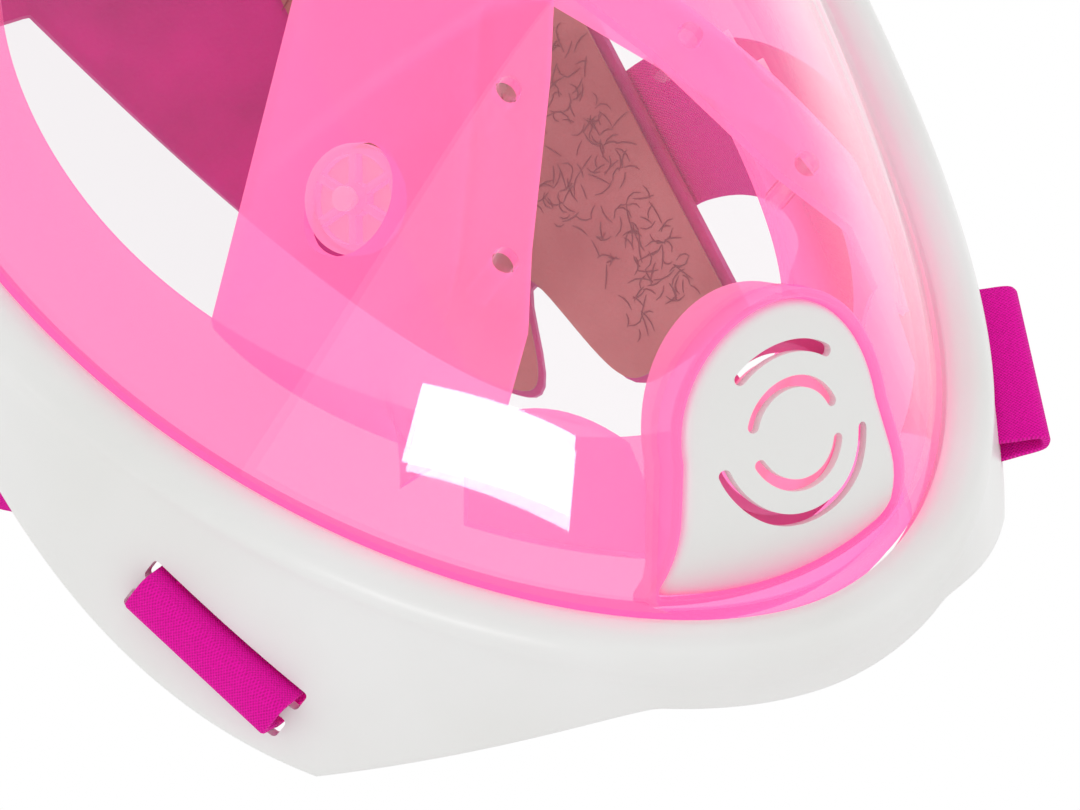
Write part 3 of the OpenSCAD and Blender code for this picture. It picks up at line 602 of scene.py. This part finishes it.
def makeSkirt():  # sections run from the bead at the rim, back, and in to the turned lip
    around = np.arange(0, 360, 1.5)
    lip = skirtSize["lipShare"]
    outer = smoothCurve([(1, 2.2), (1, 10), (0.97, 18), (0.9, 22), (lip + 0.1, 18), (lip, 8)], 6)
    inner = smoothCurve([(0.975, 2.2), (0.975, 9.4), (0.95, 16.2), (0.895, 19.8), (lip + 0.115, 16.2),
                         (lip + 0.02, 7.2)], 6)
    edge = [(lip + 0.004, 7.0)]
    section = np.vstack([outer, edge, inner[::-1]])
    grid = []
    for t in around:
        r = rim(t)
        grid.append(np.stack([r[0] * section[:, 0], r[1] + section[:, 1],
                              mixed(-centreUp, r[2], section[:, 0])], -1))
    grid = np.array(grid)
    rows, cols = grid.shape[:2]
    faces = gridFaces(rows, cols, closeRows=True, closeCols=True)
    piece = makePiece("faceSkirt", grid.reshape(-1, 3), faces, skirtSilicone, replaces=("face_skirt",))
    tidyNormals(piece)
    socketMiddle = [0, 20.5, maskSize["rimRise"] - 40]
    neck = prism(stadium(skirtSize["neckWidth"], skirtSize["neckDepth"]),
                 placer(socketMiddle, [1, 0, 0], [0, 1, 0]), 0, 60)
    cutOut(piece, [neck, purgeCutter()])
    finishMesh(piece, 50)


makeSkirt()


# Nose and mouth pocket.
pocketSize = {
    "ridge": -13.0, "openLevel": -35.0, "noseLevel": 8.0, "flange": 12.8, "cheekLevel": -54.0,
    "depth": 30.0, "wall": 2.0, "valveLevel": -50.0, "footLevel": -93.0,
    "valveHole": 17.6, "pegHole": 4.2, "pegs": [(16.8, -13, -48), (28, -8, -72)],
}


def edgeX(z):
    return np.where(z > pocketSize["openLevel"], -0.4, 1.5 + 0.585 * (pocketSize["openLevel"] - z))


def ridgeY(z):
    s = pocketSize
    nose = mixed(s["ridge"], s["depth"] - 4, (z - s["openLevel"]) / (s["noseLevel"] - s["openLevel"]))
    return np.where(z > s["openLevel"], nose, s["ridge"] + 5 * clamp01((-48 - z) / 24))


def foldX(z):
    top = pocketSize["noseLevel"] + 2
    return edgeX(z) + pocketSize["flange"] * clamp01((top - z) / (top - pocketSize["openLevel"]))


def rearX(z):
    cheek = pocketSize["cheekLevel"]
    return np.where(z > cheek, 10.5 - 0.81 * z, 54.2 - 18 * ((cheek - z) / 39) ** 2)


def rearY(z):
    return pocketSize["depth"] - 18 * clamp01((pocketSize["cheekLevel"] - z) / 39)


def pocketRow(z, grow):
    z = float(z)
    front = np.array([float(edgeX(z)), float(ridgeY(z)) - grow, z])
    fold = np.array([float(foldX(z)) + 0.2 * grow, float(ridgeY(z)) - grow, z])
    rear = np.array([float(rearX(z)) + grow, float(rearY(z)), z])
    swell = np.array([1.5 + 0.5 * grow, 0, 0])
    points = [front, mixed(front, fold, 0.5), mixed(front, fold, 0.93), mixed(fold, rear, 0.07),
              mixed(fold, rear, 0.3) + swell, mixed(fold, rear, 0.65) + swell, rear]
    return smoothCurve(behindLens(points, 3 + pocketSize["wall"] - grow), 6)


def valveFrame():
    z = pocketSize["valveLevel"]
    fold = np.array([float(foldX(z)), float(ridgeY(z)), 0])
    rear = np.array([float(rearX(z)), float(rearY(z)), 0])
    return mixed(fold, rear, 0.44) + [1.5, 0, z], unit(rear - fold)


def slabGrid(frontRows, rearRows):  # two matching sheets as one closed section after another
    return np.concatenate([frontRows, rearRows[:, ::-1]], axis=1)


def capped(rows, cols):  # faces of closed sections from first to last, both ends filled
    faces = gridFaces(rows, cols, closeCols=True)
    return faces + [tuple(range(cols)), tuple(range((rows - 1) * cols, rows * cols))[::-1]]


def makePocket():
    s = pocketSize
    levels = np.concatenate([np.linspace(s["noseLevel"], s["openLevel"], 22),
                             np.linspace(s["openLevel"] - 1.5, s["footLevel"], 38)])
    outer = np.array([pocketRow(z, s["wall"]) for z in levels])
    inner = np.array([pocketRow(z, 0.0) for z in levels])
    grid = slabGrid(outer, inner)
    rows, cols = grid.shape[:2]
    for side in (1, -1):
        points = grid.reshape(-1, 3) * [side, 1, 1]
        name = "pocketLeft" if side > 0 else "pocketRight"
        piece = makePiece(name, points, capped(rows, cols), pocketSilicone)
        tidyNormals(piece)
        middle, wall = valveFrame()
        at = placer(middle * [side, 1, 1], wall * [side, 1, 1], up)
        holes = [prism(disc(s["valveHole"], 12), at, -15, 15)]
        for peg in s["pegs"]:
            holes.append(prism(disc(s["pegHole"], 6),
                               placer(np.array(peg) * [side, 1, 1], [1, 0, 0], [0, 0, 1]), -14, 8))
        cutOut(piece, holes)
        finishMesh(piece, 50)
    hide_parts("orinasal_pocket")


makePocket()


def makeChinWebs():
    x0, x1 = float(edgeX(pocketSize["footLevel"])) + 4, coverSize["halfWidth"] + 3.4
    for side in (1, -1):
        shares = np.linspace(1, 0, 15)
        top = np.array([[mixed(x0, x1, u), -9.4 - 1.6 * u, -91 - 13 * u * u] for u in shares])
        low = np.array([rim(mixed(304, 285, u)) * [0.93, 0, 0.93] for u in shares])
        front = np.array([behindLens(mixed(top, low, v), 2.5) for v in np.linspace(0, 1, 12)])
        rear = front + [0, pocketSize["wall"], 0]
        grid = slabGrid(front, rear) * [side, 1, 1]
        rows, cols = grid.shape[:2]
        name = "chinWebLeft" if side > 0 else "chinWebRight"
        piece = makePiece(name, grid.reshape(-1, 3), capped(rows, cols), pocketSilicone)
        tidyNormals(piece)


makeChinWebs()
print("skirt and pocket made")


# Purge cover and its silicone wall.
def skinHeight(p):
    s = coverSize
    return s["crown"] - s["sideDrop"] * p[0] ** 2 - s["footFold"] * max(0, -p[1] - 8) ** 2


def skin(x, y, drop):
    return atPurge(x, y, skinHeight((x, y)) - drop)


def coverSkins():
    s = coverSize
    deep = s["lip"] + s["wall"]
    outerRim = [(-0.9, deep), (-0.35, deep - 0.1), (-0.05, deep - 0.5), (0, 2.2), (-0.08, 1.3),
                (-0.4, 0.55), (-0.95, 0.12), (-1.6, 0)]
    rows = [[skin(x, y, drop) for x, y in tongueOutline(grow)] for grow, drop in outerRim]
    shares = [0.9, 0.8, 0.7, 0.6, 0.5, 0.4, 0.3, 0.2, 0.1, 0.04]
    edge = tongueOutline(-1.6)
    rows += [[skin(x * u, y * u, 0) for x, y in edge] for u in shares]
    under = [[skin(x * u, y * u, s["wall"]) for x, y in edge] for u in shares[::-1]]
    under += [[skin(x, y, s["wall"]) for x, y in tongueOutline(-1.9)],
              [skin(x, y, s["wall"] + 0.6) for x, y in tongueOutline(-1.45)],
              [skin(x, y, deep) for x, y in tongueOutline(-1.4)]]
    return np.array(rows), np.array(under)


def makeCoverPiece():
    top, low = coverSkins()
    cols = top.shape[1]
    topPole, lowPole = skin(0, 0, 0), skin(0, 0, coverSize["wall"])
    # from the pole over the top, round the lip and back under to the other pole
    grid = np.concatenate([top[::-1], low[::-1]])
    rows = grid.shape[0]
    points = np.vstack([grid.reshape(-1, 3), [topPole, lowPole]])
    faces = gridFaces(rows, cols, closeCols=True, fanFirst=True, fanLast=True)
    piece = makePiece("purgeCover", points, faces, coverAbs, replaces=("purge_cover",))
    tidyNormals(piece)
    cutters = []
    for inner, outer, start, sweep in coverSize["slots"]:
        a = np.radians(np.linspace(start, start + sweep, 40))
        half, mid = (outer - inner) / 2, (outer + inner) / 2
        ends = np.radians(np.arange(15, 180, 15))
        first = [(mid * math.cos(a[0]) + half * math.cos(a[0] + math.pi + e), mid * math.sin(a[0])
                  + half * math.sin(a[0] + math.pi + e)) for e in ends]
        last = [(mid * math.cos(a[-1]) + half * math.cos(a[-1] + e), mid * math.sin(a[-1])
                 + half * math.sin(a[-1] + e)) for e in ends]
        outline = ([(outer * math.cos(v), outer * math.sin(v)) for v in a] + last
                   + [(inner * math.cos(v), inner * math.sin(v)) for v in a[::-1]] + first)
        cutters.append(prism(outline, atPurge, -9, 9))
    cutOut(piece, cutters)
    finishMesh(piece, 30)
    soften = piece.modifiers.new("soft edges", "BEVEL")
    soften.width, soften.segments, soften.limit_method = 0.0003, 2, "ANGLE"
    soften.angle_limit = math.radians(50)


makeCoverPiece()


def makeBoss():
    s = coverSize
    wall, depth = s["wallAround"], s["wallDepth"]
    section = [(0.4, 0.35), (0.55, 0.62), (1.0, 0.8), (wall - 0.6, 0.8), (wall - 0.1, 0.55), (wall, 0.1)]
    rows = [[skin(x, y, -rise) for x, y in tongueOutline(grow)] for grow, rise in section]
    for grow in (wall, 0.4):
        rows.append([atPurge(x, y, min(-depth, skinHeight((x, y)) - 3)) for x, y in tongueOutline(grow)])
    grid = np.array(rows)
    m, n = grid.shape[:2]
    piece = makePiece("purgeWall", grid.reshape(-1, 3), gridFaces(m, n, closeRows=True, closeCols=True),
                      sealSilicone, replaces=("purge_boss",))
    tidyNormals(piece)


makeBoss()
print("purge valve made")


# Straps.
strapSize = {"width": 29.0, "thickness": 1.5, "overBar": -2.9}
padSize = {
    "halfWidth": 92.0, "front": 60.0, "depth": 168.0, "earAngle": 63.5, "earLow": -56.0, "earHeight": 70.0,
    "wall": 4.0, "liningFrom": 33.0, "lining": 1.0, "liningGap": 0.3, "browAngle": 52.0,
    "notchAngle": 43.5, "notchHeight": 26.0,
}


def padPoint(a, z, off):
    s = padSize
    a = np.radians(a)
    deep = s["depth"] - s["front"]
    out = unit(np.stack([np.sin(a) / s["halfWidth"], np.cos(a) / deep, 0 * a], -1))
    middle = np.stack([s["halfWidth"] * np.sin(a), s["front"] + deep * np.cos(a), z + 0 * a], -1)
    return middle + off[..., None] * out


def archLevel(a):
    s = padSize
    notch = s["notchHeight"] * np.exp(-((np.abs(a) - s["notchAngle"]) / 3) ** 2)
    return mixed(64, s["earLow"], np.sin(np.pi / 2 * clamp01((np.abs(a) - 6) / 42))) + notch


def crestLevel(a):
    u = clamp01((np.abs(a) - 20) / (padSize["earAngle"] - 20))
    return mixed(104, padSize["earLow"] + padSize["earHeight"], u * u * (3 - 2 * u))


def padSpot(a, z, off):
    return padPoint(np.array(float(a)), float(z), np.array(float(off)))


def overBar(slack):  # tail behind, in by one slot, over the bar and out by the other, in the wing's frame
    slotIn, over = frameSize["slotIn"], strapSize["overBar"]
    slotOut = slotIn + frameSize["slotPitch"]
    return [(0, 3, 8.5), (0, 6, 7.6), (0, 9, 6.2), (0, slotIn - 1.2, 4.2), (0, slotIn - 0.3, 1.8),
            (0, slotIn + 0.2, -1.2), (0, slotIn + 1.2, over - slack), (0, slotOut - 1.2, over - slack),
            (0, slotOut - 0.2, -1.6), (0, slotOut + 0.4, 2)]


def strapRoute(t, start, away, awayDirs):  # points and the way the width lies at each
    origin, x, y, behind = wingFrame(t)
    points = [origin + (a + frameSize["slotMiddle"]) * x + b * y + c * behind for a, b, c in start]
    points += [np.array(p, float) for p in away]
    return np.array(points), np.array([x] * len(start) + awayDirs, float)


def ribbon(path, dirs):
    w, h = strapSize["width"] / 2, strapSize["thickness"] / 2
    fine, turned = smoothCurve(path, 8), smoothCurve(dirs, 8)
    tangent = unit(np.gradient(fine, axis=0))
    across = unit(turned - (turned * tangent).sum(-1, keepdims=True) * tangent)
    normal = np.cross(tangent, across)
    half = [(0, -h), (w * 0.35, -h), (w * 0.7, -h), (w - 0.5, -h), (w - 0.12, -h * 0.7), (w, 0)]
    profile = half + [(a, -b) for a, b in half[-2::-1]]
    profile += [(-a, -b) for a, b in half[1:]] + [(-a, b) for a, b in half[-2:0:-1]]
    grid = np.array([fine + a * across + b * normal for a, b in profile]).transpose(1, 0, 2)
    rows, cols = grid.shape[:2]
    length = np.concatenate([[0], np.cumsum(np.linalg.norm(np.diff(fine, axis=0), axis=1))])
    uv = [(profile[j][0], length[i]) for i in range(rows) for j in range(cols)]
    return grid, capped(rows, cols), uv


def makeStraps():
    s, slotOut = padSize, frameSize["slotIn"] + frameSize["slotPitch"]
    earEnd = padSpot(s["earAngle"] - 8, -18, s["wall"] + 1)
    toEar = [(0, slotOut + 1.2, 5), (0, slotOut - 1.5, 8.2), (-1, slotOut - 7, 10.5)]
    earWay = [(66, 54, -84), (74, 58, -66), (83, 66, -48), (89, 84, -30), (88, 105, -19), earEnd]
    earDirs = [(-0.6, 0.2, -0.7), (-0.6, 0.5, -0.6), (-0.3, 0.5, -0.8), (-0.1, 0.2, -0.95),
               (0, 0, -1), (0, 0, -1)]
    origin, x, y, behind = wingFrame(42)
    browLevel = float(crestLevel(s["browAngle"])) - 2
    browEnd = padSpot(s["browAngle"], browLevel, s["wall"] + strapSize["thickness"])
    leave = origin + 2 * x + (slotOut + 14) * y + 10 * behind
    browWay = [mixed(leave, browEnd, u) for u in (0.25, 0.6, 1)]
    browDirs = [mixed(x, np.array([-0.3, -0.6, 0.7]), u) for u in (0.45, 0.8, 1)]
    toBrow = [(0, slotOut + 3, 6), (-2, slotOut + 8, 9)]
    routes = {
        "lowerStrapLeft": (318, overBar(3) + toEar, earWay, earDirs, 1, "strap_lower_left"),
        "lowerStrapRight": (318, overBar(0) + toEar, earWay, earDirs, -1, "strap_lower_right"),
        "upperStrapLeft": (42, overBar(0) + toBrow, browWay, browDirs, 1, "strap_upper_left"),
        "upperStrapRight": (42, overBar(0) + toBrow, browWay, browDirs, -1, "strap_upper_right"),
    }
    for name, (t, start, way, dirs, side, node) in routes.items():
        grid, faces, uv = ribbon(*strapRoute(t, start, way, dirs))
        piece = makePiece(name, grid.reshape(-1, 3) * [side, 1, 1], faces, webbing, replaces=(node,),
                          uv=uv)
        tidyNormals(piece)


makeStraps()


# Rear pad and its linings.
def padSheet(fromAngle, toAngle, cols, rows, inset, off0, off1, swell, edge):
    # outer and inner skins of a padded band, pulled thin towards its edges
    a = np.linspace(fromAngle, toAngle, cols)
    v = np.linspace(0, 1, rows)
    low, high = archLevel(a) + inset, crestLevel(a) - inset
    z = mixed(low[None, :], high[None, :], v[:, None])
    spread = np.broadcast_to(a[None, :], z.shape)
    near = np.minimum(np.minimum(z - low[None, :], high[None, :] - z),
                      np.minimum(a - fromAngle, toAngle - a)[None, :] * 1.7)
    plump = 1 - (1 - clamp01(near / edge)) ** 2
    middle, half = (off0 + off1) / 2, (off1 - off0) / 2
    outer = padPoint(spread, z, middle + half * mixed(swell, 1, plump))
    inner = padPoint(spread, z, middle - half * mixed(swell, 1, plump))
    return outer, inner


def closedSheet(outer, inner):  # two skins joined all round their edges
    m, n = outer.shape[:2]
    points = np.vstack([outer.reshape(-1, 3), inner.reshape(-1, 3)])
    faces = gridFaces(m, n) + [tuple(m * n + i for i in f[::-1]) for f in gridFaces(m, n)]
    border = [j for j in range(n)] + [i * n + n - 1 for i in range(1, m)]
    border += [(m - 1) * n + j for j in range(n - 2, -1, -1)] + [i * n for i in range(m - 2, 0, -1)]
    faces += [(a, b, m * n + b, m * n + a) for a, b in zip(border, border[1:] + border[:1])]
    return points, faces


def makePad():
    s = padSize
    outer, inner = padSheet(-s["earAngle"], s["earAngle"], 180, 60, 0, 0, s["wall"], 0.35, 6)
    points, faces = closedSheet(outer, inner)
    pad = makePiece("rearPad", points, faces, neoprene, replaces=("rear_pad",),
                    sharp=80)
    tidyNormals(pad)
    for side, word in ((1, "left"), (-1, "right")):
        outer, inner = padSheet(s["liningFrom"], s["earAngle"] - 0.5, 90, 40, 1,
                                -s["liningGap"] - s["lining"], -s["liningGap"], 0.4, 3)
        points, faces = closedSheet(outer * [side, 1, 1], inner * [side, 1, 1])
        lining = makePiece(f"padLining{word.title()}", points, faces, loopLining,
                           replaces=(f"pad_lining_{word}",), sharp=80)
        tidyNormals(lining)


makePad()

fibreSize = {"count": 430, "shortest": 2.4, "longest": 5.2, "thickness": 0.3, "curl": 2.2, "seed": 7}


def makeFibres():  # loose curled fibres on the loop lining, the same on both sides but for their side
    s, f = padSize, fibreSize
    chance = random.Random(f["seed"])
    lift = -s["liningGap"] - s["lining"] - 0.1
    points, faces = [], []
    while len(faces) < f["count"] * 9:
        a, v = chance.uniform(s["liningFrom"] + 2, s["earAngle"] - 3), chance.uniform(0.04, 0.96)
        low, high = float(archLevel(a)) + 5, float(crestLevel(a)) - 5
        heading, bend = chance.uniform(0, 2 * math.pi), chance.uniform(-f["curl"], f["curl"])
        step = chance.uniform(f["shortest"], f["longest"]) / 3
        if high - low < 8 or abs(a - s["notchAngle"]) < 8 and v < 0.35:
            continue
        z, start = mixed(low, high, v), len(points)
        for i in range(4):
            spot = padSpot(a, z, lift)
            thick = f["thickness"] / 2 * (0.5 if i in (0, 3) else 1)
            across = heading + math.pi / 2
            side = padSpot(a + 0.4 * math.cos(across), z + 0.6 * math.sin(across), lift) - spot
            side = unit(side) * thick
            rise = unit(padSpot(a, z, lift - 1) - spot) * thick
            points += [spot - side, spot + rise, spot + side]
            a += step * math.cos(heading) / 1.75
            z += step * math.sin(heading)
            heading += bend / 3
        for i in range(3):
            for j in range(3):
                k = start + 3 * i + j
                m = start + 3 * i + (j + 1) % 3
                faces.append((k, m, m + 3, k + 3))
    for side, word in ((1, "Left"), (-1, "Right")):
        tangle = makePiece("liningFibres" + word, np.array(points) * [side, 1, 1], faces, fibreYarn)
        tidyNormals(tangle)


makeFibres()
print("harness made")


# Pieces that keep the CAD's own shape.
cadLooks = {
    pegPlastic: ("pocket_pegs",),
    springSteel: ("clamp_screws", "release_spring"),
    sealSilicone: ("neck_gasket", "plug_seal", "float_seal"),
    seatSilicone: ("inhale_seat_left", "inhale_seat_right"),
    filmSilicone: ("inhale_flap_left", "inhale_flap_right", "purge_flap",
                   "exhale_flap_left", "exhale_flap_right"),
    frameAbs: ("tube_socket", "tube_plug", "intake_plate"),
    tubeAbs: ("snorkel_tube",),
    pinkAbs: ("purge_seat", "release_button", "float_chamber", "splash_cap"),
    floatShell: ("float_body",),
}
for look, names in cadLooks.items():
    for name in names:
        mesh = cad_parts[name].data
        mesh.materials.clear()
        mesh.materials.append(look)


# Stage.
studio = {
    "floorDrop": 0.30, "floorHalf": 12.0, "softLight": 0.94, "frontWall": 0.22,
    "cameraPlace": (-0.379, -0.648, -0.247), "cameraRight": (0.812, -0.372, -0.445),
    "cameraUp": (0.248, -0.468, 0.844), "lensLength": 160.05, "turnLeft": 1.306, "tiltDown": 3.485,
    "softbox": {
        "place": (-0.438, -0.277, -0.243), "aim": (-0.038, -0.052, -0.073),
        "longSide": (0.26, -0.22, -0.33), "width": 0.24, "height": 0.027, "radiance": 15,
    },
}


def makeFloor():
    size, level = studio["floorHalf"], cadBox[0].z - studio["floorDrop"]
    corners = [(-size, -size, level), (size, -size, level), (size, size, level), (-size, size, level)]
    mesh = bpy.data.meshes.new("floor")
    mesh.from_pydata(corners, [], [(0, 1, 2, 3)])
    floor = bpy.data.objects.new("floor", mesh)
    bpy.context.scene.collection.objects.link(floor)
    material, tree = newMaterial("pale studio floor")
    paint = addNode(tree, "BsdfDiffuse", {"Color": linear("F4F4F4")})
    below = addNode(tree, "BsdfTransparent")
    facing = addNode(tree, "NewGeometry").outputs["Backfacing"]   # seen only from above
    surface = addNode(tree, "MixShader", {0: facing, 1: paint.outputs["BSDF"], 2: below.outputs["BSDF"]})
    finishMaterial(tree, surface.outputs["Shader"])
    mesh.materials.append(material)


def makeWorld():
    world = bpy.data.worlds.new("white studio")
    bpy.context.scene.world = world
    world.use_nodes = True
    tree = world.node_tree
    # white behind, soft all round, and a dark front wall for polished skins to mirror
    path = addNode(tree, "LightPath")
    towards = addNode(tree, "SeparateXYZ", {"Vector": addNode(tree, "TexCoord").outputs["Generated"]})
    wall = addNode(tree, "MapRange", {"Value": towards.outputs["Y"], "From Min": -0.3, "From Max": 0.35,
                                      "To Min": studio["frontWall"], "To Max": 1.0})
    lit = addNode(tree, "Mix", {0: path.outputs["Is Glossy Ray"], 2: studio["softLight"],
                                3: wall.outputs["Result"]})
    seen = addNode(tree, "Mix", {0: path.outputs["Is Camera Ray"], 2: lit.outputs[0], 3: 1.0})
    tree.links.new(seen.outputs[0], tree.nodes["Background"].inputs["Strength"])
    tree.nodes["Background"].inputs["Color"].default_value = (1, 1, 1, 1)
    bpy.context.scene.view_settings.view_transform = "Standard"
    bpy.context.scene.cycles.transparent_max_bounces = 40


def makeCamera():
    right, upward = Vector(studio["cameraRight"]), Vector(studio["cameraUp"])
    towards = right.cross(upward).normalized()
    upward = towards.cross(right).normalized()
    camera = bpy.data.objects.new("camera", bpy.data.cameras.new("camera"))
    bpy.context.scene.collection.objects.link(camera)
    turn = Matrix((right.normalized(), upward, towards)).transposed().to_4x4()
    turn = turn @ Matrix.Rotation(math.radians(studio["turnLeft"]), 4, "Y")
    turn = turn @ Matrix.Rotation(math.radians(-studio["tiltDown"]), 4, "X")
    camera.matrix_world = Matrix.Translation(studio["cameraPlace"]) @ turn
    camera.data.lens = studio["lensLength"]
    camera.data.clip_start, camera.data.clip_end = 0.01, 50
    bpy.context.scene.camera = camera


def makeSoftbox(name, place, aim, longSide, width, height, radiance):
    lamp = bpy.data.lights.new(name, "AREA")
    lamp.shape, lamp.size, lamp.size_y = "RECTANGLE", width, height
    lamp.energy = radiance * math.pi * width * height
    holder = bpy.data.objects.new(name, lamp)
    bpy.context.scene.collection.objects.link(holder)
    z = (Vector(place) - Vector(aim)).normalized()
    x = (Vector(longSide) - Vector(longSide).dot(z) * z).normalized()
    holder.matrix_world = Matrix.Translation(place) @ Matrix((x, z.cross(x), z)).transposed().to_4x4()
    holder.visible_camera = holder.visible_diffuse = False


makeFloor()
makeWorld()
makeSoftbox("cheek softbox", **studio["softbox"])
makeCamera()
print("stage made")
